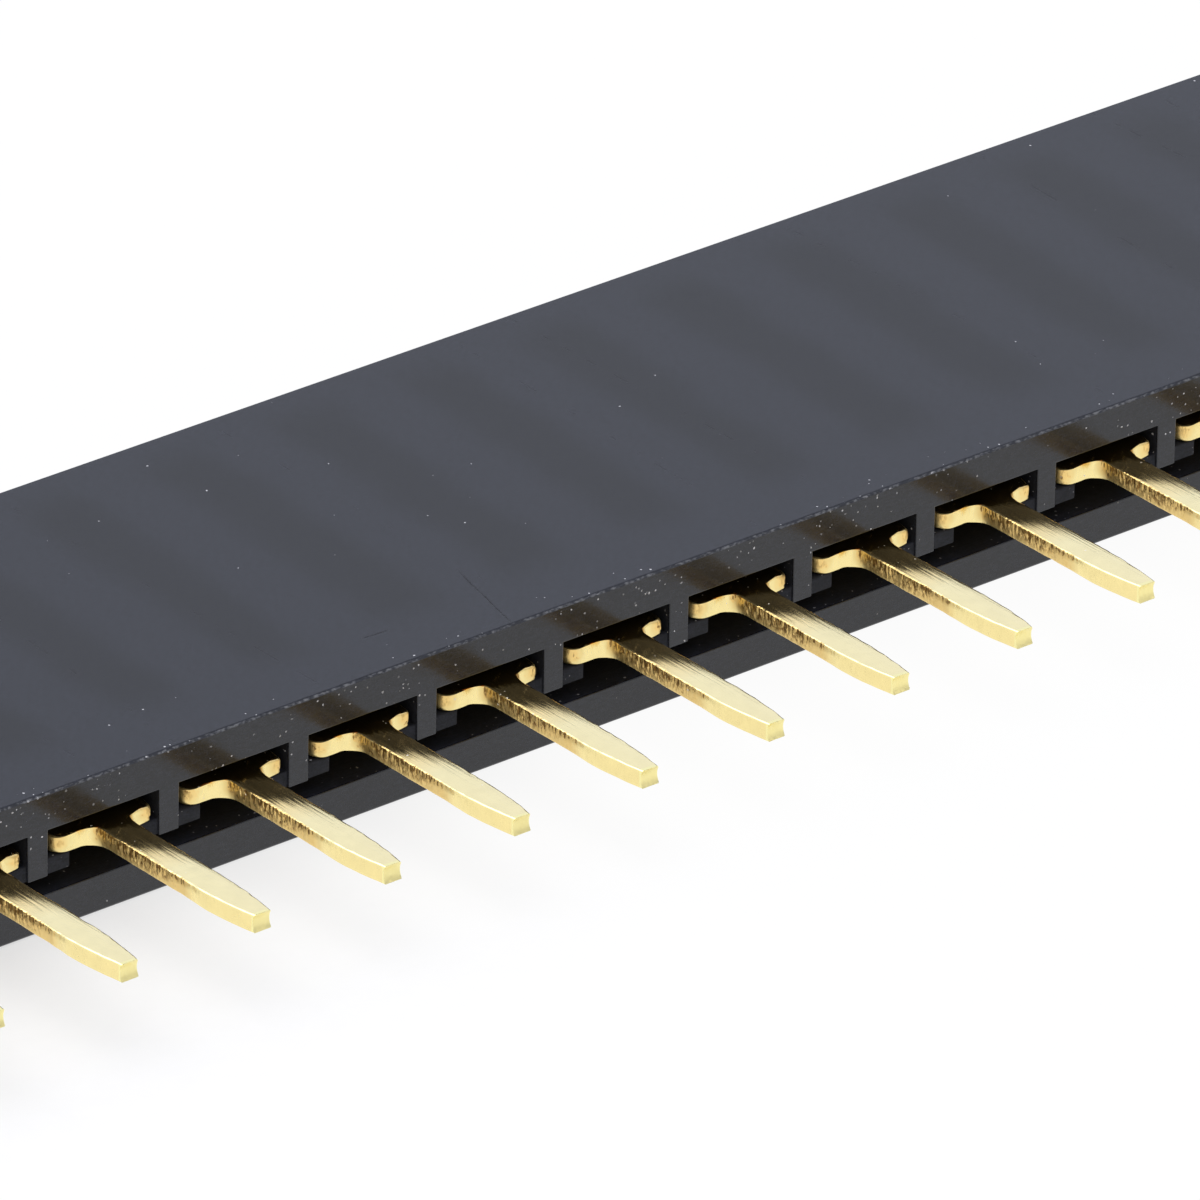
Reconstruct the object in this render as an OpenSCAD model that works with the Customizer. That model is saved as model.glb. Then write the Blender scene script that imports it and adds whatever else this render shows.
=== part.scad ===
// Single-row female pin header strip with straight solder tails.
// It lies on one long side wall: +X runs along the strip, the solder tails point
// to -Y, the sockets open to +Y, and Z = 0 is the wall that it rests on.

/* [Strip] */
// Number of positions
positions = 20; // [2:1:40]
// Distance from one position to the next
pitch = 2.54; // [2.45:0.01:3]

/* [Housing] */
// Height of the housing, from the solder face to the mating face
body_height = 8.5; // [8.2:0.1:12]
// Plastic between two neighbouring cells
web = 0.39; // [0.3:0.01:0.44]
// Plastic at each end of the strip
end_wall = 0.32; // [0.2:0.01:1]
// Thickness of the side wall that the strip lies on, at the solder face
lower_wall = 0.65; // [0.5:0.01:0.8]
// Thickness of the upper side wall
upper_wall = 0.655; // [0.5:0.005:0.8]
// Bevel along the long outer edges
edge_break = 0.04; // [0.01:0.01:0.12]
// Height of the vent slot that runs along the solder face
vent_height = 0.3; // [0.2:0.01:0.35]
// Depth of the vent slot
vent_depth = 0.9; // [0.7:0.05:1.5]
// Width of the two steps that carry each contact
step_width = 0.455; // [0.35:0.005:0.5]
// Height of the steps
step_height = 0.275; // [0.2:0.005:0.3]
// Length of the steps into the cell
step_length = 0.45; // [0.3:0.01:0.6]
// Setback of the steps behind the solder face
step_setback = 0.05; // [0:0.01:0.1]
// Free height above the contact's base plate
roof_gap = 0.19; // [0.1:0.01:0.3]
// Thickness of the wall that the sockets pass through
mating_wall = 1; // [0.8:0.05:1.1]
// Width of the square socket hole
socket_hole = 0.9; // [0.75:0.01:1]
// Width of the socket's mouth at the mating face
socket_mouth = 1.5; // [1.2:0.01:1.7]
// Depth of the socket's sloping lead-in
lead_in_depth = 0.35; // [0.2:0.01:0.5]

/* [Contact] */
// Thickness of the sheet that the contact is stamped from
sheet = 0.31; // [0.25:0.01:0.34]
// Width of the base plate
plate_width = 1.9; // [1.8:0.01:2]
// Length of the base plate
plate_length = 2.35; // [2:0.05:2.6]
// Setback of the base plate behind the solder face
plate_setback = 0.01; // [0:0.01:0.1]
// Radius of the base plate's front corner on the -X side
plate_corner = 0.25; // [0.15:0.01:0.35]
// Radius of its front corner on the +X side, nearer to the tail
plate_nick = 0.08; // [0.05:0.01:0.2]
// Inner radius of the folds between the plate and its legs
fold_radius = 0.08; // [0.04:0.01:0.15]
// Width of a spring beam
beam_width = 0.6; // [0.5:0.01:0.65]
// Gap between the two beams where they grip a pin
throat_gap = 0.44; // [0.35:0.01:0.55]
// Distance from the solder face to the gripping point
throat_depth = 6.2; // [5.5:0.05:6.5]
// Gap between the tips of the two beams
tip_gap = 0.86; // [0.7:0.01:1]

/* [Solder tail] */
// Length of the tail from the solder face
tail_length = 3.8; // [2.5:0.1:6]
// Width of the tail
tail_width = 0.6; // [0.5:0.01:0.7]
// Sideways offset of the tail from the middle of its cell
tail_offset = 0.1; // [0:0.01:0.15]
// Radius of the fillets between the tail and the base plate
root_fillet = 0.28; // [0.1:0.01:0.32]
// Length of the narrowing end of the tail
taper_length = 1.4; // [0.8:0.05:1.8]
// Width of the tail's tip
tip_width = 0.33; // [0.25:0.01:0.4]
// Depth of the hollow across the cropped tip
tip_hollow = 0.05; // [0.02:0.01:0.08]

/* [Fits] */
// Gap between the base plate and the steps under it, and at the barbs
seat_gap = 0.02; // [0.01:0.01:0.04]
// Free space round the folded legs and the beams
cavity_gap = 0.1; // [0.06:0.01:0.15]

/* [Hidden] */
$fn = 48;
// Extra reach of a cutting shape past the face that it opens
cut = 0.5;
// Bands in which the tail's taper and the beams' curves are drawn
curve_steps = 8;

contact_x0 = -(positions - 1) * pitch / 2;
body_y0 = (tail_length - body_height) / 2;
mating_y = body_height;

cell_width = pitch - web;
body_length = (positions - 1) * pitch + cell_width + 2 * end_wall;

vent_top = lower_wall + vent_height;
step_top = vent_top + step_height;
plate_bottom = step_top + seat_gap;
plate_top = plate_bottom + sheet;
cell_top = plate_top + roof_gap;
body_thick = cell_top + upper_wall;
mid_z = body_thick / 2;

beam_bottom = mid_z - beam_width / 2;
cavity_bottom = beam_bottom - cavity_gap;
cavity_start = step_setback + step_length;
cavity_end = body_height - mating_wall;
leg_start = cavity_start + cavity_gap;
leg_x = (plate_width - sheet) / 2;
throat_x = (throat_gap + sheet) / 2;
tip_x = (tip_gap + sheet) / 2;
beam_end = cavity_end - 2 * cavity_gap;
barb_reach = (cell_width - plate_width) / 2 - seat_gap;
barb_length = 0.45;
barb_height = 0.3;

function contact_name(i) = str("contact_", i < 10 ? "0" : "", i);

// ---------- shared shapes ----------

// Prism along X over a YZ outline, centred on X = 0
module along_x(length)
    translate([-length / 2, 0, 0])
        rotate([90, 0, 90])
            linear_extrude(height = length) children();

// Prism along +Y over an XZ outline, from y = 0
module along_y(length)
    translate([0, length, 0])
        rotate([90, 0, 0])
            linear_extrude(height = length) children();

// Box centred on X = 0, between two depths and two heights
module cell_box(width, y0, y1, z0, z1)
    translate([-width / 2, y0, z0])
        cube([width, y1 - y0, z1 - z0]);

// Triangular web that fills an inside corner at the origin, in the +X +Y quarter
module corner_fillet(radius)
    difference() {
        square(radius);
        translate([radius, radius]) circle(radius);
    }

// ---------- housing ----------

// Long outer body with its four long edges bevelled
module housing_blank()
    along_x(body_length)
        polygon([
            [edge_break, 0], [body_height - edge_break, 0],
            [body_height, edge_break], [body_height, body_thick - edge_break],
            [body_height - edge_break, body_thick], [edge_break, body_thick],
            [0, body_thick - edge_break], [0, edge_break],
        ]);

// Square hole for the pin, with four sloping lead-in faces at the mating face
module socket() {
    cell_box(socket_hole, cavity_end - cut, mating_y + cut,
             mid_z - socket_hole / 2, mid_z + socket_hole / 2);
    slope = (socket_mouth - socket_hole) / 2 / lead_in_depth;
    wide = socket_mouth / 2 + slope * cut;
    funnel = [
        [mating_y - lead_in_depth, -socket_hole / 2], [mating_y + cut, -wide],
        [mating_y + cut, wide], [mating_y - lead_in_depth, socket_hole / 2],
    ];
    translate([0, 0, mid_z])
        intersection() {
            along_x(2 * wide) polygon(funnel);
            translate([0, 0, -wide])
                linear_extrude(height = 2 * wide)
                    polygon([for (p = funnel) [p[1], p[0]]]);
        }
}

// Everything that is open in one position of the housing
module cell() {
    // seat of the base plate, above the steps
    cell_box(cell_width, -cut, cavity_end, step_top, cell_top);
    // setback of the steps
    cell_box(cell_width, -cut, step_setback, lower_wall, step_top);
    // passage between the steps
    cell_box(cell_width - 2 * step_width, -cut, cavity_end, lower_wall + vent_height / 2, cell_top);
    // spring cavity
    cell_box(cell_width, cavity_start, cavity_end, cavity_bottom, cell_top);
    socket();
}

// Slot along the solder face that joins the cells
module vent_slot()
    cell_box(body_length - 2 * end_wall, -cut, vent_depth, lower_wall, vent_top);

module housing()
    color([0.13, 0.13, 0.15])
        translate([0, body_y0, 0])
            difference() {
                housing_blank();
                vent_slot();
                for (i = [0:positions - 1])
                    translate([contact_x0 + i * pitch, 0, 0]) cell();
            }

// ---------- contact ----------

// Half width of the tail at a distance back from its tip
function taper_half(d) =
    let (t = 1 - min(d / taper_length, 1))
    tail_width / 2 - (tail_width - tip_width) / 2 * pow(t, 2);

// Plan outline of the tail
module tail_outline() {
    right = [for (i = [0:curve_steps])
        let (d = taper_length * i / curve_steps) [taper_half(d), d - tail_length]];
    root = [[tail_width / 2, plate_setback + root_fillet]];
    half = concat(right, root);
    last = len(half) - 1;
    translate([tail_offset, 0])
        polygon(concat(half, [for (i = [last:-1:0]) [-half[i][0], half[i][1]]]));
}

// Plan outline of the flat base plate ahead of the legs
module plate_outline() {
    difference() {
        translate([-plate_width / 2, plate_setback])
            square([plate_width, plate_length - plate_setback]);
        for (side = [0, 1])
            mirror([side, 0])
                translate([-plate_width / 2, plate_setback])
                    corner_fillet(side == 0 ? plate_corner : plate_nick);
    }
    for (side = [0, 1])
        translate([tail_offset, 0])
            mirror([side, 0])
                translate([tail_width / 2, plate_setback])
                    mirror([0, 1])
                        corner_fillet(root_fillet);
}

// Flat stamped blank: tail, fillets and base plate, with the hollow across the tip
module blank()
    difference() {
        translate([0, 0, plate_bottom])
            linear_extrude(height = sheet) {
                tail_outline();
                plate_outline();
            }
        // the plate's long edges give way to the folds
        for (side = [0, 1])
            mirror([side, 0, 0])
                translate([plate_width / 2 - sheet - fold_radius, leg_start, plate_bottom - cut])
                    cube([sheet + fold_radius + cut, plate_length, sheet + 2 * cut]);
        translate([tail_offset, -tail_length, plate_bottom + sheet / 2])
            along_x(tail_width)
                polygon([[-cut, -sheet / 2 - cut], [0, -sheet / 2], [tip_hollow, 0],
                         [0, sheet / 2], [-cut, sheet / 2 + cut]]);
    }

// Section of one folded edge: a quarter bend at the top of an upright leg
module leg_section() {
    bend_out = fold_radius + sheet;
    translate([plate_width / 2 - bend_out, plate_top - bend_out]) {
        intersection() {
            difference() {
                circle(bend_out);
                circle(fold_radius);
            }
            square(bend_out);
        }
        translate([fold_radius, beam_bottom - plate_top + bend_out])
            square([sheet, plate_top - bend_out - beam_bottom]);
    }
}

// Triangular barb on the outer face of a leg, which holds the contact in its cell
module barb()
    translate([plate_width / 2, (leg_start + plate_length - barb_length) / 2, mid_z - barb_height / 2])
        linear_extrude(height = barb_height)
            polygon([[-sheet / 2, 0], [0, 0], [barb_reach, barb_length],
                     [-sheet / 2, barb_length]]);

// Middle line of a beam, from its leg through the throat to the flared tip
function beam_path() = concat(
    [[leg_x, plate_length - sheet]],
    [for (i = [0:curve_steps])
        let (t = i / curve_steps)
        [leg_x - (leg_x - throat_x) * (3 * pow(t, 2) - 2 * pow(t, 3)),
         plate_length + (throat_depth - plate_length) * t]],
    [for (i = [1:curve_steps / 2])
        let (t = i / (curve_steps / 2))
        [throat_x + (tip_x - throat_x) * pow(t, 2), throat_depth + (beam_end - throat_depth) * t]]
);

// Unit direction of a path at one of its points
function heading(path, i) =
    let (a = path[max(i - 1, 0)], b = path[min(i + 1, len(path) - 1)])
    (b - a) / norm(b - a);

// Plan outline of a strip of sheet bent along a path
module bent_strip(path) {
    last = len(path) - 1;
    function side(i, s) = path[i] + s * sheet / 2 * [heading(path, i)[1], -heading(path, i)[0]];
    polygon(concat([for (i = [0:last]) side(i, 1)], [for (i = [last:-1:0]) side(i, -1)]));
}

// One folded leg with its barb and spring beam, on the +X side
module leg_and_beam() {
    translate([0, leg_start, 0])
        along_y(plate_length - leg_start) leg_section();
    barb();
    translate([0, 0, beam_bottom])
        linear_extrude(height = beam_width) bent_strip(beam_path());
}

module contact(i)
    color("gold")
        translate([contact_x0 + (i - 1) * pitch, body_y0, 0]) {
            blank();
            for (side = [0, 1])
                mirror([side, 0, 0]) leg_and_beam();
        }

housing();
for (i = [1:positions])
    contact(i);
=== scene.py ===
import math

import bmesh
import bpy
import numpy as np
from mathutils import Matrix, Vector


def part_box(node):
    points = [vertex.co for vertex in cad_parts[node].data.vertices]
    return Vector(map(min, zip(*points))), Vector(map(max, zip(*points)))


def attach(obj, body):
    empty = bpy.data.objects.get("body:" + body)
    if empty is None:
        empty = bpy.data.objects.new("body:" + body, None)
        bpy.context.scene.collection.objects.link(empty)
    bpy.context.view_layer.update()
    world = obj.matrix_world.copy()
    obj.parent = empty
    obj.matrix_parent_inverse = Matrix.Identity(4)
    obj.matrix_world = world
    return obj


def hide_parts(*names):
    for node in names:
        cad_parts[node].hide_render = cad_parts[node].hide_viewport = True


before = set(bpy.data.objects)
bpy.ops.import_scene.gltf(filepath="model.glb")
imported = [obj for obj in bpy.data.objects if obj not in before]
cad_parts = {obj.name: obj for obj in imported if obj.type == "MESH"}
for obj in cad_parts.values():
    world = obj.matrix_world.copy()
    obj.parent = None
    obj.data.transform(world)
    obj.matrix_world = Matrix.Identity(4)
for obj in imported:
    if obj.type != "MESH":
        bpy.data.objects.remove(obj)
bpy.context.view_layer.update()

# ---------------------------------------------------------------------------
# Camera: a long macro lens a quarter of a metre from the middle of the strip,
# looking down on the solder side. One millimetre is MM in the frame's metres.
# ---------------------------------------------------------------------------
MM = 0.001
camera_aim = Vector((-2.843, -0.761, 1.2)) * MM
camera_azimuth = math.radians(-39.76)
camera_elevation = math.radians(27.285)
camera_roll = math.radians(0.92)
camera_distance = 256.9 * MM

camera_data = bpy.data.cameras.new("macro_camera")
camera_data.sensor_width = 36.0
camera_data.lens = 488.7
camera_data.clip_start = 0.02
camera_data.clip_end = 5.0
camera = bpy.data.objects.new("macro_camera", camera_data)
bpy.context.scene.collection.objects.link(camera)
bpy.context.scene.camera = camera

back = Vector((
    math.sin(camera_azimuth) * math.cos(camera_elevation),
    -math.cos(camera_azimuth) * math.cos(camera_elevation),
    math.sin(camera_elevation),
))
right = Vector((math.cos(camera_azimuth), math.sin(camera_azimuth), 0.0))
up = back.cross(right)
rolled_right = right * math.cos(camera_roll) + up * math.sin(camera_roll)
rolled_up = up * math.cos(camera_roll) - right * math.sin(camera_roll)
turn = Matrix((rolled_right, rolled_up, back)).transposed().to_4x4()
camera.matrix_world = Matrix.Translation(camera_aim + back * camera_distance) @ turn

# ---------------------------------------------------------------------------
# Housing: one long moulding of black glass-filled nylon. The mould leaves its
# edges very slightly round, painted shade of slight sinking darkens its long sides in soft
# bands over each cavity, and handling has left fine scratches, worn edges and pale dust on it.
# ---------------------------------------------------------------------------
housing_low, housing_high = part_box("housing")
pitch = 2.54 * MM
mould_radius = 0.022 * MM


def add_node(tree, kind, **settings):
    """One shader node of that kind, set out in rows of twelve in the order of making. Settings
    are the node's attributes, and those whose name starts with in_ are its inputs, by number
    or name. An input takes a value, another node's output, or a node for its first output."""
    node = tree.nodes.new(kind)
    count = len(tree.nodes)
    node.location = (200 * (count % 12), -300 * (count // 12))
    for key, value in settings.items():
        if not key.startswith("in_"):
            setattr(node, key, value)
            continue
        name = key[3:]
        socket = node.inputs[int(name) if name.isdigit() else name]
        if isinstance(value, bpy.types.Node):
            value = next(output for output in value.outputs if output.enabled)
        if isinstance(value, bpy.types.NodeSocket):
            tree.links.new(value, socket)
        else:
            socket.default_value = value
    return node


def maths(tree, operation, *values, clamp=False):
    """A Math node that works the operation on the values, each a number or a node."""
    inputs = {f"in_{place}": value for place, value in enumerate(values)}
    return add_node(tree, "ShaderNodeMath", operation=operation, use_clamp=clamp, **inputs)


def remap(tree, value, start, end, first, last, smooth_step=False):
    """First where the value is start, last where it is end, a straight line or an even S
    between them, and level beyond."""
    return add_node(tree, "ShaderNodeMapRange",
                    interpolation_type="SMOOTHSTEP" if smooth_step else "LINEAR",
                    in_0=value, in_1=start, in_2=end, in_3=first, in_4=last)


def noise(tree, place, scale, detail, roughness=0.5):
    """Noise with that many grains to the metre and that many finer layers over it."""
    return add_node(tree, "ShaderNodeTexNoise", in_Vector=place, in_2=scale, in_3=detail, in_4=roughness)


def mix_colour(tree, factor, first, second, blend_type="MIX"):
    """The first colour where the factor is 0 and the second, or their product, where it is 1."""
    return add_node(tree, "ShaderNodeMix", data_type="RGBA", blend_type=blend_type,
                    in_Factor=factor, in_A=first, in_B=second)


specks_per_metre = 9500.0
speck_bend = 2.4e-5


def dust_group():
    """Node group: small pale specks. Each cell of a Voronoi pattern holds a speck of its
    own size round its feature point, if the cell's random number is under Amount."""
    group = bpy.data.node_groups.new("settled_dust", "ShaderNodeTree")
    group.interface.new_socket("Amount", in_out="INPUT", socket_type="NodeSocketFloat")
    group.interface.new_socket("Speck", in_out="OUTPUT", socket_type="NodeSocketFloat")
    inlet = add_node(group, "NodeGroupInput")
    outlet = add_node(group, "NodeGroupOutput")
    place = add_node(group, "ShaderNodeTexCoord").outputs["Object"]
    bend = noise(group, place, 30000.0, 0.0)
    shift = add_node(group, "ShaderNodeVectorMath", operation="MULTIPLY_ADD",
                     in_0=bend.outputs["Color"], in_1=(speck_bend,) * 3, in_2=place)
    cells = add_node(group, "ShaderNodeTexVoronoi", in_Vector=shift, in_2=specks_per_metre)
    split = add_node(group, "ShaderNodeSeparateColor", in_0=cells.outputs["Color"])
    size = remap(group, split.outputs[1], 0.0, 1.0, 0.05, 0.19)
    inside = maths(group, "LESS_THAN", cells, size)
    chosen = maths(group, "LESS_THAN", split.outputs[0], inlet.outputs["Amount"])
    both = maths(group, "MULTIPLY", inside, chosen)
    pale = remap(group, split.outputs[2], 0.0, 1.0, 0.15, 1.0)
    seen = maths(group, "MULTIPLY", both, pale)
    group.links.new(seen.outputs[0], outlet.inputs["Speck"])
    return group


settled_dust = dust_group()
unshaded_black = (0.0118, 0.0130, 0.0181, 1.0)
band_shade_black = (0.0056, 0.0060, 0.0078, 1.0)
rubbed_grey = (0.55, 0.55, 0.56, 1.0)
scratch_black = (0.004, 0.004, 0.005, 1.0)
pale_dust = (0.62, 0.61, 0.62, 1.0)
band_lean = -0.05
band_phase = -0.98
band_drift = 0.5 * MM
wear_start = 0.025 * MM
wear_end = 0.048 * MM
scratch_turn = math.radians(-38.0)
scratch_core = 0.009 * MM
scratch_edge = 0.025 * MM
scratch_wander = 0.06 * MM
# where the two long scratches start and end, as X and Y in millimetres
long_scratches = (((-5.44, -0.35), (-5.94, -2.40)), ((-8.10, -1.29), (-7.55, -1.34)))


def black_nylon():
    """Black moulded nylon: near-black base, a fine flow grain, soft bands of painted shade one
    pitch apart over the long sides, worn edges along the solder face, scratches and dust."""
    material = bpy.data.materials.new("black_nylon")
    material.use_nodes = True
    tree = material.node_tree
    link = tree.links.new
    surface = tree.nodes["Principled BSDF"]
    surface.inputs["IOR"].default_value = 1.347
    place = add_node(tree, "ShaderNodeTexCoord").outputs["Object"]
    axes = add_node(tree, "ShaderNodeSeparateXYZ", in_0=place)

    # painted shade bands over the sink marks: a wave along X that hardly leans with Y, blurred by
    #     # noise, one over each cell, fading at both edges
    lean = maths(tree, "MULTIPLY_ADD", axes.outputs["Y"], band_lean, axes.outputs["X"])
    drift = noise(tree, place, 650.0, 1.0)
    drifted = maths(tree, "MULTIPLY_ADD", drift, band_drift, lean)
    phase = maths(tree, "MULTIPLY_ADD", drifted, 2 * math.pi / pitch, band_phase)
    wave = maths(tree, "SINE", phase)
    band = remap(tree, wave, -0.8, 1.0, 0.0, 1.0, smooth_step=True)
    middle = (housing_low.y + housing_high.y) / 2 + 0.3 * MM
    across = maths(tree, "SUBTRACT", axes.outputs["Y"], middle)
    away = maths(tree, "ABSOLUTE", across)
    fade = remap(tree, away, 2.6 * MM, 3.9 * MM, 1.0, 0.0, smooth_step=True)
    band_shade = maths(tree, "MULTIPLY", band, fade)

    # flow grain and fine tooling marks
    grain = noise(tree, place, 42000.0, 1.0)
    cloud = noise(tree, place, 2600.0, 2.0)

    # distance from the upper long edge of the solder face
    down = maths(tree, "SUBTRACT", housing_high.z, axes.outputs["Z"])
    behind = maths(tree, "SUBTRACT", axes.outputs["Y"], housing_low.y)
    apart = maths(tree, "ADD", down, behind)
    edge = remap(tree, apart, wear_start, wear_end, 1.0, 0.0, smooth_step=True)
    nicks = noise(tree, place, 17000.0, 2.0, 0.7)
    nicked = remap(tree, nicks, 0.49, 0.63, 0.09, 1.0)
    worn = maths(tree, "MULTIPLY", edge, nicked)

    # depth below the moulding's outer box: surfaces inside it are cored and duller
    inside = add_node(tree, "ShaderNodeVectorMath", operation="SUBTRACT", in_0=place,
                      in_1=(housing_low + housing_high) / 2)
    folded = add_node(tree, "ShaderNodeVectorMath", operation="ABSOLUTE", in_0=inside)
    short = add_node(tree, "ShaderNodeVectorMath", operation="SUBTRACT",
                     in_0=(housing_high - housing_low) / 2, in_1=folded)
    depths = add_node(tree, "ShaderNodeSeparateXYZ", in_0=short)
    least = maths(tree, "MINIMUM", depths.outputs["Y"], depths.outputs["Z"])
    cored = remap(tree, least, 0.030 * MM, 0.045 * MM, 0.0, 1.0)

    # dust lies thickest along that edge and in the recesses behind it, and thinly elsewhere
    over = maths(tree, "MULTIPLY_ADD", behind, 4.0, down)
    near = remap(tree, over, 0.04 * MM, 2.2 * MM, 0.85, 0.012, smooth_step=True)
    drifts = noise(tree, place, 950.0, 1.0)
    piled = remap(tree, drifts, 0.40, 0.66, 0.10, 1.0)
    amount = maths(tree, "MULTIPLY", near, piled)
    shelf = remap(tree, behind, 0.10 * MM, 0.6 * MM, 0.7, 0.0)
    caught = maths(tree, "MULTIPLY_ADD", shelf, cored, amount)
    dust = add_node(tree, "ShaderNodeGroup", node_tree=settled_dust, in_Amount=caught)

    # two or three hairline scratches across each centimetre of the broad faces
    turned = add_node(tree, "ShaderNodeMapping", in_Vector=place,
                      in_Rotation=(0.0, 0.0, scratch_turn), in_Scale=(1.0, 0.035, 0.2))
    lines = add_node(tree, "ShaderNodeTexVoronoi", feature="DISTANCE_TO_EDGE", voronoi_dimensions="2D",
                     in_2=260.0, in_Vector=turned)
    hair = remap(tree, lines, 0.001, 0.0045, 0.22, 0.0)
    broken = remap(tree, cloud, 0.55, 0.62, 0.0, 1.0)
    scratch = maths(tree, "MULTIPLY", hair, broken)

    # and two longer ones near the middle, one of them running out over the edge, with gaps in both
    skips = remap(tree, grain, 0.42, 0.56, 0.15, 1.0)
    for start, finish in long_scratches:
        line = Vector(finish) * MM - Vector(start) * MM
        along = add_node(tree, "ShaderNodeMapping", vector_type="TEXTURE", in_Vector=place,
                         in_Location=(start[0] * MM, start[1] * MM, 0.0),
                         in_Rotation=(0.0, 0.0, math.atan2(line.y, line.x)))
        part = add_node(tree, "ShaderNodeSeparateXYZ", in_0=along)
        off = maths(tree, "MULTIPLY_ADD", cloud, scratch_wander, -scratch_wander / 2)
        wander = maths(tree, "ADD", part.outputs["Y"], off)
        aside = maths(tree, "ABSOLUTE", wander)
        thin = remap(tree, aside, scratch_core, scratch_edge, 0.75, 0.0)
        middling = maths(tree, "SUBTRACT", part.outputs["X"], line.length / 2)
        ends = maths(tree, "ABSOLUTE", middling)
        kept = remap(tree, ends, line.length * 0.35, line.length / 2, 1.0, 0.0)
        mark = maths(tree, "MULTIPLY", thin, kept)
        dotted = maths(tree, "MULTIPLY", mark, skips)
        scratch = maths(tree, "MAXIMUM", scratch, dotted)
    outside = maths(tree, "LESS_THAN", depths.outputs["Z"], 0.004 * MM)
    scratch = maths(tree, "MULTIPLY", scratch, outside)

    # colour: near-black, cooler between the bands and darker in them as painted shade, pale where worn or
    # dusty
    # the darker band colour is painted shade, not a stain in the nylon
    tint = mix_colour(tree, band_shade, unshaded_black, band_shade_black)
    stretched = add_node(tree, "ShaderNodeMapping", in_Vector=place, in_Scale=(0.3, 1.0, 1.0))
    drawn = noise(tree, stretched, 25000.0, 2.0, 0.6)
    mottle = maths(tree, "MULTIPLY", drawn, grain)
    depth_of_tone = remap(tree, mottle, 0.12, 0.38, 0.5, 1.5)
    mottled = mix_colour(tree, 1.0, tint, depth_of_tone, "MULTIPLY")
    rubbed = mix_colour(tree, worn, mottled, rubbed_grey)
    scored = mix_colour(tree, scratch, rubbed, scratch_black)
    dusty = mix_colour(tree, dust, scored, pale_dust)
    link(dusty.outputs["Result"], surface.inputs["Base Color"])

    # roughness: glossy, duller in the grain, on worn edges, in scratches and under dust
    gloss = remap(tree, cloud, 0.35, 0.65, 0.17, 0.25)
    dull = maths(tree, "MULTIPLY_ADD", dust, 0.5, gloss)
    duller = maths(tree, "MULTIPLY_ADD", worn, 0.3, dull, clamp=True)
    scuffed = maths(tree, "MULTIPLY_ADD", scratch, 0.6, duller, clamp=True)
    matt = maths(tree, "MULTIPLY_ADD", cored, 0.5, scuffed, clamp=True)
    link(matt.outputs[0], surface.inputs["Roughness"])

    # the two end plates of the mould are polished, so the faces they leave shine more
    polish = remap(tree, depths.outputs["Y"], 0.004 * MM, 0.012 * MM, 0.42, 0.0)
    link(polish.outputs[0], surface.inputs["Coat Weight"])
    surface.inputs["Coat Roughness"].default_value = 0.14

    # relief: grain, tooling marks, scratches and the specks themselves
    relief = maths(tree, "MULTIPLY_ADD", cloud, 0.35, grain)
    tooled = maths(tree, "MULTIPLY_ADD", drawn, 1.2, relief)
    raised = maths(tree, "MULTIPLY_ADD", dust, 4.0, tooled)
    cut_in = maths(tree, "MULTIPLY_ADD", scratch, -2.5, raised)
    bump = add_node(tree, "ShaderNodeBump", in_Strength=1.0, in_Distance=0.0009 * MM, in_Height=cut_in)
    link(bump.outputs["Normal"], surface.inputs["Normal"])
    return material


housing_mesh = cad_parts["housing"].data.copy()
housing_mesh.name = "moulded_housing"
housing_mesh.materials.clear()
merged = bmesh.new()
merged.from_mesh(housing_mesh)
bmesh.ops.remove_doubles(merged, verts=merged.verts, dist=0.0005 * MM)
bmesh.ops.dissolve_limit(merged, angle_limit=math.radians(0.5), verts=merged.verts, edges=merged.edges)
for face in merged.faces:
    face.smooth = True
merged.to_mesh(housing_mesh)
merged.free()
housing = bpy.data.objects.new("moulded_housing", housing_mesh)
bpy.context.scene.collection.objects.link(housing)
rounded = housing.modifiers.new("mould_radius", "BEVEL")
rounded.width = mould_radius
rounded.segments = 2
rounded.limit_method = "ANGLE"
rounded.angle_limit = math.radians(30.0)
rounded.use_clamp_overlap = False
level = housing.modifiers.new("flat_faces", "WEIGHTED_NORMAL")
level.mode = "FACE_AREA"
level.weight = 100
housing_mesh.materials.append(black_nylon())
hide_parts("housing")
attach(housing, "root")

# ---------------------------------------------------------------------------
# Contacts: each is stamped from sheet brass, folded and plated with gold. A flat
# plate with two wings sits on the housing's steps, a narrow tail runs out of it,
# and its folded legs end in two spring beams that meet behind the socket.
# ---------------------------------------------------------------------------
sheet = 0.31 * MM
solder_face = housing_low.y
tail_top = 1.555 * MM
tail_mid = tail_top - sheet / 2
tail_offset = 0.1 * MM
tail_length = 3.8 * MM
tail_half = 0.3 * MM
tip_half = 0.165 * MM
taper_length = 1.4 * MM
plate_half = 0.95 * MM
plate_front = 0.01 * MM
plate_end = 2.35 * MM
root_fillet = 0.28 * MM
round_fillet = 0.36 * MM
left_corner = 0.25 * MM
right_corner = 0.08 * MM
left_edge_width = 0.024 * MM
right_edge_width = 0.036 * MM
fold_start = 0.55 * MM
fold_end = 0.9 * MM
fold_line = 0.56 * MM
fold_arc = 0.369 * MM
leg_reach = 1.194 * MM
lower_roll = 0.020 * MM
wing_roll = 0.055 * MM
wing_lip = 0.03 * MM
draw_depth = 0.045 * MM
draw_width = 0.15 * MM
notch_count = 60
notch_start = 1.2 * MM
break_grain = 0.0060 * MM
break_lean = 0.034 * MM
wave_depth = 0.0028 * MM
burr_depth = 0.024 * MM
tip_wobble = 0.005 * MM
crown_drop = 0.014 * MM
tip_hollow = 0.054 * MM
path_limit = 9.0
wall_levels = 15
rim_levels = 4
face_columns = 6
taper_rows = 40
straight_rows = 200
bend_rows = 16
front_rows = 8
corner_rows = 10
side_rows = (6, 10, 8)
root_row = taper_rows + straight_rows


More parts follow.
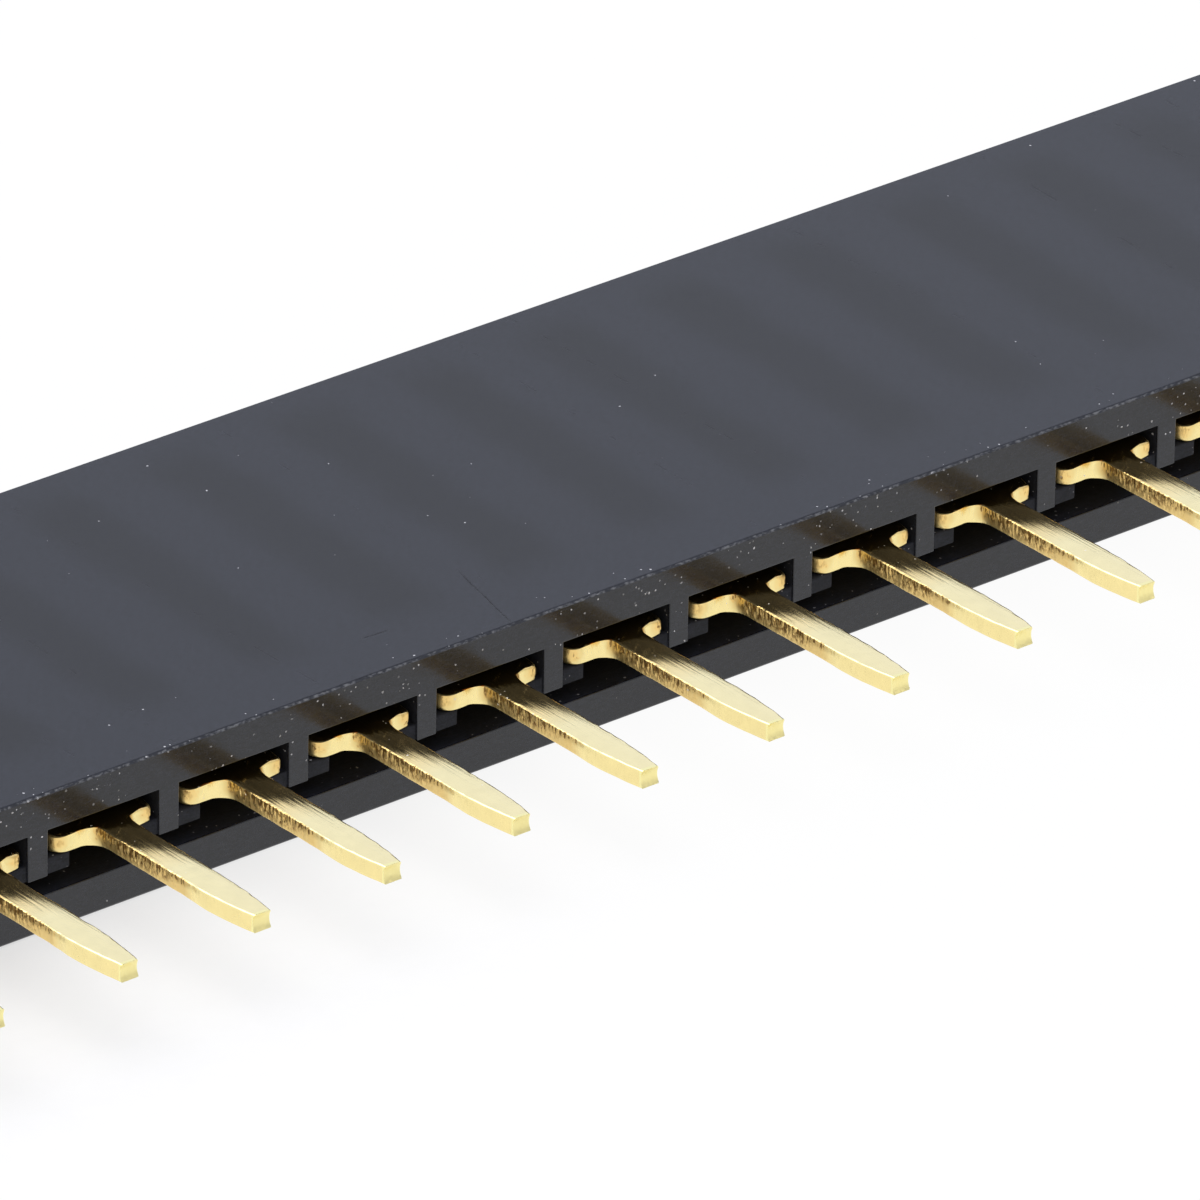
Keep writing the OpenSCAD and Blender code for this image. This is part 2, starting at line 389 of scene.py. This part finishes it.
def smooth(value, start, end):
    """0 before start and 1 after end, with an even S between them."""
    t = np.clip((value - start) / (end - start), 0.0, 1.0)
    return t * t * (3.0 - 2.0 * t)


def bell(distance, width):
    """1 at no distance, falling on both sides as a Gaussian of that width."""
    return np.exp(-(distance / width) ** 2)


def side_line(reach, corner, fillet):
    """One side of the blank from tip to back as (out, y): distance from the tail's middle
    line and from the solder face. The tail widens with the square of the distance from its
    straight part, then come a straight, a quarter-circle fillet, the wing's front edge, a
    quarter-circle corner and the plate's side."""
    run = np.linspace(0.0, taper_length, taper_rows, endpoint=False)
    narrow = tail_half - (tail_half - tip_half) * (1.0 - run / taper_length) ** 2
    straight = np.linspace(taper_length - tail_length, plate_front - fillet, straight_rows, endpoint=False)
    bend = np.linspace(0.0, math.pi / 2, bend_rows, endpoint=False)
    front = np.linspace(tail_half + fillet, reach - corner, front_rows, endpoint=False)
    turn_in = np.linspace(-math.pi / 2, 0.0, corner_rows, endpoint=False)
    side = np.concatenate((
        np.linspace(plate_front + corner, fold_start, side_rows[0], endpoint=False),
        np.linspace(fold_start, fold_end, side_rows[1], endpoint=False),
        np.linspace(fold_end, plate_end, side_rows[2]),
    ))
    out = np.concatenate((
        narrow, np.full(straight_rows, tail_half), tail_half + fillet * (1.0 - np.cos(bend)),
        front, reach - corner + corner * np.cos(turn_in), np.full(sum(side_rows), reach),
    ))
    y = np.concatenate((
        run - tail_length, straight, plate_front - fillet * (1.0 - np.sin(bend)),
        np.full(front_rows, plate_front), plate_front + corner * (1.0 + np.sin(turn_in)), side,
    ))
    return out, y


def wall(out, y, reach, edge, dip, seed):
    """The cut face along one side: (rows, levels) arrays of outward place, y, height above the
    sheet's middle, shear and torn. Each level is set in along the outline's normal by the edge's
    rounding, by the draw of the fillet, and by notches torn down from the upper edge."""
    random = np.random.default_rng(seed)
    tangent = np.stack((np.gradient(out), np.gradient(y)))
    tangent /= np.linalg.norm(tangent, axis=0)
    normal = np.stack((tangent[1], -tangent[0]))
    travel = np.concatenate(([0.0], np.cumsum(np.hypot(np.diff(out), np.diff(y)))))
    root = travel[np.argmin(np.abs(y - plate_front))]

    def ripple(step, pick, *spread):
        """A random value at each step of travel, in millimetres, with straight lines between."""
        knots = np.arange(0.0, path_limit, step)
        return np.interp(travel, knots * MM, pick(*spread, knots.size))

    # both edges are rounded, most of all at the wing's corner
    behind_root = y > -0.1 * MM
    on_step = y < 0.25 * MM
    roll = lower_roll + wing_roll * bell(out - reach, 0.16 * MM) * behind_root
    lip = edge + wing_lip * bell(out - reach, 0.14 * MM) * behind_root
    lip = lip * ripple(0.11, random.uniform, 0.7, 1.3)
    quarter = np.linspace(0.0, math.pi / 2, rim_levels)
    flat = np.linspace(0.0, 1.0, wall_levels - 2 * rim_levels + 2)[1:-1]
    even = quarter / quarter[-1]
    drop_top = dip * lip[:, None] * (1.0 - np.cos(quarter) if dip == 1.0 else even)
    inset_top = lip[:, None] * (1.0 - np.sin(quarter) if dip == 1.0 else 1.0 - even)
    span = sheet - dip * lip - roll
    drop_flat = dip * lip[:, None] + span[:, None] * flat
    drop_low = sheet - roll[:, None] * (1.0 - np.sin(quarter))
    inset_low = roll[:, None] * (1.0 - np.cos(quarter))
    drop = np.concatenate((drop_top, drop_flat, drop_low), axis=1)
    inset = np.concatenate((inset_top, 0.0 * drop_flat, inset_low), axis=1)
    depth = drop / sheet

    # the punch draws the metal in round the fillet
    draw = draw_depth * bell(travel - root + 0.25 * MM, draw_width)
    inset = inset + draw[:, None] * (1.0 - depth) ** 1.3

    # notches torn down from the upper edge, shorter and shallower towards the tip
    torn = np.zeros_like(inset)
    # dark marks the notches and the break and is returned as the torn mask: there the gold is warmer and
    # rougher, and at its strongest darker as painted shade
    dark = np.zeros_like(inset)
    places = np.cumsum(random.uniform(0.045, 0.12, notch_count)) * MM + notch_start
    for at in places[places < root - 0.25 * MM]:
        near_root = smooth(at, 1.0 * MM, root - 0.5 * MM)
        reach_down = random.uniform(0.2, 0.4) + 0.25 * near_root * random.uniform(0.2, 1.0)
        width = random.uniform(0.016, 0.030) * MM
        size = random.uniform(0.008, 0.024) * MM * smooth(at, 1.1 * MM, 2.2 * MM)
        lean = random.uniform(-0.03, 0.03) * MM
        notch = bell(travel[:, None] - at - lean * depth, width)
        notch = notch * (1.0 - smooth(depth, reach_down * 0.6, reach_down))
        torn += size * notch
        dark = np.maximum(dark, notch * smooth(size, 0.0, 0.012 * MM))

    # the break below them is rough grain: none at the tip or round the fillet, and half as
    # strong at the outer end of the wing
    grain_lines = 8
    grain = np.stack([ripple(0.032, random.normal, 0.0, 1.0) for line in range(grain_lines)], axis=1)
    cell = depth * (grain_lines - 1.001)
    low_knot = cell.astype(int)
    part = cell - low_knot
    row = np.arange(len(travel))[:, None]
    high_knot = np.minimum(low_knot + 1, grain_lines - 1)
    coarse = grain[row, low_knot] * (1.0 - part) + grain[row, high_knot] * part
    broken = smooth(travel, 1.4 * MM, 2.6 * MM) * (1.0 - smooth(travel, root - 0.55 * MM, root - 0.15 * MM))
    wing_end = bell(out - reach + 0.05 * MM, 0.16 * MM) * on_step
    broken = np.maximum(broken, 0.5 * wing_end)
    shape = np.sin(math.pi * np.clip(depth, 0.0, 1.0))
    inset = inset + torn * shape ** 0.5 + break_grain * coarse * broken[:, None] * shape
    # the break is marked darker in its upper part, for painted shade in its pits
    lower = 1.0 - 0.75 * smooth(depth, 0.4, 0.95)
    dark = np.maximum(dark, (0.22 + 0.38 * smooth(coarse, 0.4, 1.8)) * broken[:, None] * lower)

    # the whole face waves slightly along its length
    wave = ripple(0.17, random.normal, 0.0, wave_depth)
    inset = inset + wave[:, None]

    # below the torn band the break leans in towards the lower face
    leaning = smooth(travel, 0.9 * MM, 1.7 * MM) * (1.0 - smooth(travel, root - 0.5 * MM, root - 0.2 * MM))
    inset = inset + break_lean * leaning[:, None] * np.maximum(depth - 0.35, 0.0) / 0.65

    # a thin burr hangs below a groove along the wing's lower edge
    wing = smooth(travel, root - 0.05 * MM, root + 0.1 * MM) * on_step
    burr = ripple(0.07, random.uniform, 0.2, 1.0)
    inset = inset + burr_depth * (wing * burr)[:, None] * bell(depth - 0.76, 0.07)

    place = out[:, None] - normal[0][:, None] * inset
    along_y = y[:, None] - normal[1][:, None] * inset
    height = sheet / 2 - drop
    shear = smooth(depth, 0.0, 0.06) * (1.0 - smooth(depth, 0.97, 1.0))
    return place, along_y, height, shear, dark * shear


def fold(out, height, y):
    """Folds the blank's long edges down into legs. Beyond the fold line a point turns about
    the line by up to a right angle, spread over the arc, and the turn grows along y."""
    angle = np.maximum(smooth(y, fold_start, fold_end) * math.pi / 2, 1e-5)
    sign = np.sign(out)
    past = np.maximum(np.abs(out) - fold_line, 0.0)
    on_arc = np.minimum(past, fold_arc)
    beyond = past - on_arc
    radius = fold_arc / angle
    turned = angle * on_arc / fold_arc
    across = np.minimum(np.abs(out), fold_line) + radius * np.sin(turned) \
        + beyond * np.cos(turned) + height * np.sin(turned)
    rise = -radius * (1.0 - np.cos(turned)) - beyond * np.sin(turned) + height * np.cos(turned)
    return sign * across, rise


def closed_grid(rows, ring, start=0):
    """Quads of a tube of that many rows round a closed ring of points, facing outwards."""
    r, c = np.meshgrid(np.arange(rows - 1), np.arange(ring), indexing="ij")
    a = r * ring + c
    b = r * ring + (c + 1) % ring
    return np.stack((a, b, b + ring, a + ring), axis=-1).reshape(-1, 4) + start


def stamped_blank(seed):
    """The tail, wings, plate and legs as one closed skin: rows run from tip to back, and each
    row is a ring over the upper face, down the right cut face, back under the lower face and up
    the left one. The upper face is crowned by the square of its width. Returns points (N, 3)
    about the cell's middle, faces, and the shear and torn masks."""
    random = np.random.default_rng(seed)
    sides = []
    for sign, corner, fillet, edge, dip in (
            (-1.0, left_corner, root_fillet, left_edge_width, 0.4),
            (1.0, right_corner, round_fillet, right_edge_width, 1.0)):
        reach = plate_half - sign * tail_offset
        out, y = side_line(reach, corner, fillet)
        widen = smooth(y, (fold_start + fold_end) / 2, fold_end)
        out = out + widen * (leg_reach - plate_half)
        place, along_y, height, shear, torn = wall(out, y, reach, edge, dip, seed * 2 + int(sign > 0))
        sides.append((sign * place + tail_offset, along_y, height, shear, torn))
    (left_x, left_y, left_h, left_s, left_t), (right_x, right_y, right_h, right_s, right_t) = sides
    rows = left_x.shape[0]

    # columns across the upper and lower faces bend through two pivots near the middle line
    base_y = (left_y[:, 0] + right_y[:, 0]) / 2
    bent = root_row + bend_rows
    stops = [0, root_row - 1, bent - 1, bent + front_rows - 1, bent + front_rows + corner_rows - 1,
             rows - sum(side_rows), rows - 1]
    spine = np.interp(np.arange(rows), stops,
                      [base_y[0], base_y[stops[1]], -0.16 * MM, 0.0, 0.12 * MM, 0.30 * MM, plate_end])
    spine = np.where(np.arange(rows) < root_row, base_y, np.maximum.accumulate(spine))
    share = np.linspace(0.0, 1.0, face_columns + 1)[1:]
    half = np.minimum(0.5 * tail_half, 0.5 * np.abs(left_x[:, 0] - tail_offset))

    def face(level):
        """Points across one face, left to right, without the two rims."""
        lx, ly = left_x[:, level, None], left_y[:, level, None]
        rx, ry = right_x[:, level, None], right_y[:, level, None]
        pivot_l = (tail_offset - half)[:, None]
        pivot_r = (tail_offset + half)[:, None]
        mid = spine[:, None]
        to_left = share
        to_right = 1.0 - share[::-1]
        centre = np.linspace(0.0, 1.0, 5)[1:-1]
        x = np.concatenate((lx + (pivot_l - lx) * to_left, pivot_l + (pivot_r - pivot_l) * centre,
                            pivot_r + (rx - pivot_r) * to_right), axis=1)
        y = np.concatenate((ly + (mid - ly) * to_left, mid + 0.0 * centre,
                            mid + (ry - mid) * to_right), axis=1)
        return x, y

    top_x, top_y = face(0)
    low_x, low_y = face(-1)

    def crown(x, y):
        """Drop of the rolled face below its crest, which lies left of the tail's middle."""
        return crown_drop * (((x - tail_offset) / tail_half + 0.5) ** 2 - 0.25) \
            * (1.0 - smooth(y, -0.4 * MM, 0.3 * MM))

    top_h = sheet / 2 - crown(top_x, top_y)
    low_h = -sheet / 2 + 0.0 * low_x
    keep = np.linspace(1.0, 0.0, wall_levels)
    left_h = left_h - crown(left_x, left_y) * keep
    right_h = right_h - crown(right_x, right_y) * keep

    whole = np.zeros_like(top_x)
    ring_x, ring_y, ring_h, ring_s, ring_t = (
        np.concatenate((over, right, under[:, ::-1], left[:, ::-1]), axis=1)
        for over, right, under, left in (
            (top_x, right_x, low_x, left_x), (top_y, right_y, low_y, left_y),
            (top_h, right_h, low_h, left_h), (whole, right_s, whole, left_s),
            (whole, right_t, whole, left_t)))

    # the cropped tip is hollow between its upper and lower lips
    hollow = tip_hollow * (1.0 - (2.0 * ring_h / sheet) ** 2)
    fade = 1.0 - smooth(ring_y + tail_length, 0.0, 0.28 * MM)
    ring_y = np.maximum(ring_y, -tail_length) + np.maximum(hollow, 0.0) * fade
    ring = ring_x.shape[1]
    faces = closed_grid(rows, ring)

    # end face of the tip: a grid from the left cut face to the right one
    columns = top_x.shape[1]
    cap_x, cap_y, cap_h = [], [], []
    for level in range(1, wall_levels - 1):
        across = np.linspace(0.0, 1.0, columns + 2)[1:-1]
        on_left = ring - 1 - level
        on_right = columns + level
        wobble = np.abs(random.normal(0.0, tip_wobble, columns))
        cap_x.append(ring_x[0, on_left] + (ring_x[0, on_right] - ring_x[0, on_left]) * across)
        cap_y.append(ring_y[0, on_left] + (ring_y[0, on_right] - ring_y[0, on_left]) * across + wobble)
        cap_h.append(ring_h[0, on_left] + (ring_h[0, on_right] - ring_h[0, on_left]) * across)
    first_cap = rows * ring
    inner = first_cap + np.arange((wall_levels - 2) * columns).reshape(wall_levels - 2, columns)
    upper = np.arange(columns)
    lower = columns + wall_levels + columns - 1 - np.arange(columns)
    body = np.vstack((upper, inner, lower))
    left_edge = ring - 1 - np.arange(wall_levels)
    right_edge = columns + np.arange(wall_levels)
    lattice = np.column_stack((left_edge, body, right_edge))
    a, b = lattice[:-1, :-1], lattice[:-1, 1:]
    c, d = lattice[1:, 1:], lattice[1:, :-1]
    tip_faces = np.stack((a, d, c, b), axis=-1).reshape(-1, 4)

    x = np.concatenate((ring_x.ravel(), np.concatenate(cap_x)))
    y = np.concatenate((ring_y.ravel(), np.concatenate(cap_y)))
    h = np.concatenate((ring_h.ravel(), np.concatenate(cap_h)))
    s = np.concatenate((ring_s.ravel(), np.ones(len(x) - ring_x.size)))
    t = np.concatenate((ring_t.ravel(), np.full(len(x) - ring_x.size, 0.02)))
    x, h = fold(x, h, y)
    points = np.column_stack((x, y + solder_face, h + tail_mid))
    end = (rows - 1) * ring
    back_face = [tuple(range(end, end + ring))]
    return points, [tuple(f) for f in faces] + [tuple(f) for f in tip_faces] + back_face, s, t


rolled_gold = (0.985, 0.858, 0.462, 1.0)
rooted_gold = (0.980, 0.700, 0.260, 1.0)
cut_gold = (0.985, 0.825, 0.385, 1.0)
lit_tip_gold = (1.0, 0.91, 0.44, 1.0)
torn_gold = (0.97, 0.68, 0.250, 1.0)
pit_shade_brown = (0.185, 0.082, 0.012, 1.0)
gold_dust = (0.95, 0.90, 0.78, 1.0)
along_sheet = (17000.0, 450.0, 17000.0)
through_sheet = (17000.0, 17000.0, 7000.0)
tail_end = solder_face - tail_length


def plated_gold():
    """Bright gold plating over stamped brass. Rolled faces are pale and finely brushed along
    the sheet. Cut faces are deeper in colour, with streaks that run through the thickness."""
    material = bpy.data.materials.new("plated_gold")
    material.use_nodes = True
    tree = material.node_tree
    link = tree.links.new
    surface = tree.nodes["Principled BSDF"]
    surface.inputs["Metallic"].default_value = 1.0
    place = add_node(tree, "ShaderNodeTexCoord").outputs["Object"]
    along = add_node(tree, "ShaderNodeSeparateXYZ", in_0=place).outputs["Y"]
    shear = add_node(tree, "ShaderNodeAttribute", attribute_name="shear").outputs["Fac"]
    torn = add_node(tree, "ShaderNodeAttribute", attribute_name="torn").outputs["Fac"]

    # brushing along the rolled faces, streaks through the cut ones, and a slow cloud over both
    brushed = add_node(tree, "ShaderNodeMapping", in_Vector=place, in_Scale=along_sheet)
    lines = noise(tree, brushed, 1.0, 3.0, 0.6)
    pulled = add_node(tree, "ShaderNodeMapping", in_Vector=place, in_Scale=through_sheet)
    streaks = noise(tree, pulled, 1.0, 4.0, 0.6)
    cloud = noise(tree, place, 3800.0, 4.0)

    # colour: pale on the rolled faces and deeper towards the root and on the cut faces
    deepen = remap(tree, along, solder_face - 1.9 * MM, solder_face - 0.8 * MM, 0.0, 1.0)
    rooted = mix_colour(tree, deepen, rolled_gold, rooted_gold)
    colour = mix_colour(tree, shear, rooted, cut_gold)
    tone = remap(tree, cloud, 0.3, 0.7, 0.96, 1.02)
    toned = mix_colour(tree, 1.0, colour, tone, "MULTIPLY")
    # the cropped end face of the tip is painted paler gold: painted light on a face that reflects the dim
    # side of the studio
    tip_light = remap(tree, along, tail_end + 0.062 * MM, tail_end + 0.075 * MM, 1.0, 0.0)
    tip_lit = mix_colour(tree, tip_light, toned, lit_tip_gold)

    # warmer over the torn band and on the middle stretch of the cut faces
    region = remap(tree, torn, 0.01, 0.09, 0.0, 0.85)
    past = maths(tree, "SUBTRACT", along, solder_face - 1.40 * MM)
    gap = maths(tree, "ABSOLUTE", past)
    stretch = remap(tree, gap, 0.75 * MM, 1.15 * MM, 1.0, 0.0, smooth_step=True)
    sheared = maths(tree, "MULTIPLY", stretch, shear)
    warmth = maths(tree, "MULTIPLY", sheared, 0.65)
    warmest = maths(tree, "MAXIMUM", warmth, region)
    warm = mix_colour(tree, warmest, tip_lit, torn_gold)

    # dark in the pits of the torn band and at the bottom of its notches: painted shade in these hollows
    pit = remap(tree, streaks, 0.50, 0.555, 0.0, 0.97)
    ragged_part = remap(tree, torn, 0.05, 0.20, 0.0, 0.9)
    pitted = maths(tree, "MULTIPLY", pit, ragged_part)
    hollow = remap(tree, torn, 0.45, 0.85, 0.0, 0.95)
    dark = maths(tree, "MAXIMUM", pitted, hollow)
    deep = mix_colour(tree, dark, warm, pit_shade_brown)

    # a few specks of dust, more of them near the housing
    near = remap(tree, along, solder_face - 1.6 * MM, solder_face - 0.4 * MM, 0.02, 0.16)
    dust = add_node(tree, "ShaderNodeGroup", node_tree=settled_dust, in_Amount=near)
    dusty = mix_colour(tree, dust, deep, gold_dust)
    link(dusty.outputs["Result"], surface.inputs["Base Color"])

    # roughness: polished where rolled, duller where cut, torn or dusty
    rolled = remap(tree, lines, 0.3, 0.7, 0.08, 0.17)
    cut = remap(tree, streaks, 0.3, 0.7, 0.17, 0.30)
    rag = remap(tree, torn, 0.0, 0.025, 0.0, 0.24)
    frosted = maths(tree, "MULTIPLY", sheared, 0.27)
    rougher = maths(tree, "MAXIMUM", rag, frosted)
    ragged = maths(tree, "ADD", rougher, cut)
    roughness = add_node(tree, "ShaderNodeMix", in_Factor=shear, in_A=rolled, in_B=ragged)
    dull = maths(tree, "MULTIPLY_ADD", dust, 0.5, roughness, clamp=True)
    link(dull.outputs[0], surface.inputs["Roughness"])
    frayed = remap(tree, torn, 0.02, 0.15, 1.0, 0.93)
    link(frayed.outputs[0], surface.inputs["Metallic"])

    # relief: the brushing, and the streaks, which bite deepest in the torn band
    fine = maths(tree, "MULTIPLY", lines, 0.72)
    bite = remap(tree, torn, 0.0, 0.35, 0.46, 1.0)
    pits = maths(tree, "MULTIPLY", streaks, bite)
    relief = add_node(tree, "ShaderNodeMix", in_Factor=shear, in_A=fine, in_B=pits)
    bump = add_node(tree, "ShaderNodeBump", in_Strength=1.0, in_Distance=0.008 * MM, in_Height=relief)
    link(bump.outputs["Normal"], surface.inputs["Normal"])
    return material


gold = plated_gold()
beam_start = 2.1 * MM
beam_height = 0.6 * MM
beam_low = 0.9 * MM
beam_rows = (4, 26, 12)
beam_sides = 20
throat_gap = 0.44 * MM
mouth_gap = 0.86 * MM
leg_x = plate_half - sheet / 2
throat_x = (throat_gap + sheet) / 2
tip_x = (mouth_gap + sheet) / 2
throat_y = 6.2 * MM
beam_end = 7.3 * MM


def spring_beam(sign):
    """An upright strip carried along a path in plan: straight in its leg, an even S in to the
    throat, then out by the square of the distance. Its section is a rectangle whose corners
    are pulled in to a superellipse."""
    y = np.concatenate((np.linspace(beam_start, plate_end, beam_rows[0], endpoint=False),
                        np.linspace(plate_end, throat_y, beam_rows[1], endpoint=False),
                        np.linspace(throat_y, beam_end, beam_rows[2])))
    x = leg_x - (leg_x - throat_x) * smooth(y, plate_end, throat_y)
    flare = np.clip((y - throat_y) / (beam_end - throat_y), 0.0, 1.0)
    x = sign * (x + (tip_x - throat_x) * flare ** 2)
    turn_by = np.linspace(0.0, 2.0 * math.pi, beam_sides, endpoint=False) + math.pi / beam_sides
    c, s = np.cos(turn_by), np.sin(turn_by)
    power = 0.16
    across = np.sign(c) * np.abs(c) ** power * sheet / 2
    upright = np.sign(s) * np.abs(s) ** power * beam_height / 2
    tangent = np.stack((np.gradient(x), np.gradient(y)))
    tangent /= np.linalg.norm(tangent, axis=0)
    px = x[:, None] + tangent[1][:, None] * across
    py = y[:, None] - tangent[0][:, None] * across
    pz = beam_low + beam_height / 2 + upright + 0.0 * px
    points = np.column_stack((px.ravel(), py.ravel() + solder_face, pz.ravel()))
    rows, ring = px.shape
    faces = [tuple(f[::-1]) for f in closed_grid(rows, ring)]
    faces.append(tuple(range(ring)))
    faces.append(tuple(range(rows * ring - 1, (rows - 1) * ring - 1, -1)))
    shear = np.tile((np.abs(s) ** power > 0.9).astype(float), rows)
    return points, faces, shear, 0.0 * shear


barb_y = (1.25 * MM, 1.7 * MM)
barb_z = (1.05 * MM, 1.35 * MM)
barb_bite = 0.105 * MM


def barb(sign):
    """A small wedge on the outer face of a leg, which bites into the wall of the cell: one
    four-cornered plan at two heights, joined by flat sides."""
    start, end = barb_y
    outer = plate_half + barb_bite
    plan = ((leg_x, start), (plate_half, start), (outer, end), (leg_x, end))
    points = np.array([(sign * x, y + solder_face, z) for z in barb_z for x, y in plan])
    faces = [(3, 2, 1, 0), (4, 5, 6, 7), (0, 1, 5, 4), (1, 2, 6, 5), (2, 3, 7, 6), (3, 0, 4, 7)]
    if sign < 0:
        faces = [f[::-1] for f in faces]
    return points, faces, np.ones(8), np.zeros(8)


names = sorted(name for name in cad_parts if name.startswith("contact_"))
for number, name in enumerate(names, 1):
    low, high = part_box(name)
    centre = (low.x + high.x) / 2
    shells = [stamped_blank(number)]
    shells += [spring_beam(sign) for sign in (-1.0, 1.0)]
    shells += [barb(sign) for sign in (-1.0, 1.0)]
    points, faces, shear, torn = [], [], [], []
    for shell_points, shell_faces, shell_shear, shell_torn in shells:
        start = sum(len(p) for p in points)
        points.append(shell_points)
        shear.append(shell_shear)
        torn.append(shell_torn)
        faces += [tuple(int(i) + start for i in f) for f in shell_faces]
    points = np.concatenate(points)
    points[:, 0] += centre
    mesh = bpy.data.meshes.new("plated_" + name)
    mesh.from_pydata(points.tolist(), [], faces)
    mesh.polygons.foreach_set("use_smooth", np.ones(len(mesh.polygons), bool))
    for title, values in (("shear", shear), ("torn", torn)):
        mask = mesh.attributes.new(title, "FLOAT", "POINT")
        mask.data.foreach_set("value", np.concatenate(values).astype(np.float32))
    mesh.set_sharp_from_angle(angle=math.radians(50.0))
    mesh.materials.append(gold)
    contact = bpy.data.objects.new("plated_" + name, mesh)
    bpy.context.scene.collection.objects.link(contact)
    even = contact.modifiers.new("even_normals", "WEIGHTED_NORMAL")
    even.keep_sharp = True
    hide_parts(name)
    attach(contact, "root")

# ---------------------------------------------------------------------------
# Floor: a sheet of white card that the strip lies on, with a faint paper tooth.
# The camera sees it partly lit and partly plain white, the white share growing to the right
# # as painted light, so it keeps a faint shadow. Glossy surfaces see it nearly plain white.
# ---------------------------------------------------------------------------
card_mesh = bpy.data.meshes.new("white_card")
card_reach = 0.6
card_light = (0.960, 0.945, 0.915, 1.0)
card_shade = (0.880, 0.865, 0.835, 1.0)
card_mesh.from_pydata(
    [(-card_reach, -card_reach, 0.0), (card_reach, -card_reach, 0.0),
     (card_reach, card_reach, 0.0), (-card_reach, card_reach, 0.0)], [], [(0, 1, 2, 3)])
card = bpy.data.objects.new("white_card", card_mesh)
bpy.context.scene.collection.objects.link(card)
card_material = bpy.data.materials.new("white_card")
card_material.use_nodes = True
tree = card_material.node_tree
link = tree.links.new
paper = tree.nodes["Principled BSDF"]
output = tree.nodes["Material Output"]
paper.inputs["Roughness"].default_value = 0.85
paper.inputs["Specular IOR Level"].default_value = 0.2
place = add_node(tree, "ShaderNodeTexCoord").outputs["Object"]
tooth = noise(tree, place, 2200.0, 5.0, 0.6)
shade = mix_colour(tree, tooth, card_light, card_shade)
link(shade.outputs["Result"], paper.inputs["Base Color"])
glow = add_node(tree, "ShaderNodeEmission", in_1=1.0)
seen = add_node(tree, "ShaderNodeLightPath")
spot = add_node(tree, "ShaderNodeSeparateXYZ", in_0=place)
# the camera's plain white share grows towards +X: painted light, the card lighter to the right and more
# shaded to the left
painted_light_ramp = remap(tree, spot.outputs["X"], -16.0 * MM, -4.0 * MM, 0.59, 0.94)
direct = maths(tree, "MULTIPLY", seen.outputs["Is Camera Ray"], painted_light_ramp)
partly = maths(tree, "MULTIPLY_ADD", seen.outputs["Is Glossy Ray"], 0.97, direct)
blend = add_node(tree, "ShaderNodeMixShader", in_0=partly, in_1=paper.outputs[0], in_2=glow)
link(blend.outputs[0], output.inputs["Surface"])
card_mesh.materials.append(card_material)

# ---------------------------------------------------------------------------
# Light: a cool white studio wall behind and above the strip, a pale warm one low
# on the solder side with the dim camera side over it, and one soft overhead lamp.
# ---------------------------------------------------------------------------
warm_wall = (0.84, 0.83, 0.81, 1.0)
dim_side = (0.26, 0.26, 0.27, 1.0)
cool_wall = (0.90, 0.945, 1.09, 1.0)
world = bpy.data.worlds.new("studio")
bpy.context.scene.world = world
world.use_nodes = True
tree = world.node_tree
link = tree.links.new
sky = tree.nodes["Background"]
direction = add_node(tree, "ShaderNodeTexCoord")
toward = add_node(tree, "ShaderNodeSeparateXYZ", in_0=direction.outputs["Generated"])
behind = remap(tree, toward.outputs["Y"], -0.3, 0.3, 0.0, 1.0, smooth_step=True)
high = remap(tree, toward.outputs["Z"], 0.48, 0.62, 0.0, 1.0, smooth_step=True)
lit = maths(tree, "MAXIMUM", behind, high)
dim = remap(tree, toward.outputs["Z"], 0.33, 0.43, 0.0, 1.0, smooth_step=True)
front = mix_colour(tree, dim, warm_wall, dim_side)
tone = mix_colour(tree, lit, front, cool_wall)
link(tone.outputs["Result"], sky.inputs["Color"])
sky.inputs["Strength"].default_value = 1.0

lamp_data = bpy.data.lights.new("overhead_softbox", "AREA")
lamp_data.shape = "DISK"
lamp_data.size = 0.5
lamp_data.energy = 1.0
lamp_data.color = (1.0, 0.97, 0.92)
lamp = bpy.data.objects.new("overhead_softbox", lamp_data)
bpy.context.scene.collection.objects.link(lamp)
lamp_place = Vector((-0.08, 0.16, 0.48))
lamp_turn = lamp_place.to_track_quat("Z", "Y").to_matrix().to_4x4()
lamp.matrix_world = Matrix.Translation(lamp_place) @ lamp_turn

bpy.context.scene.view_settings.view_transform = "Standard"
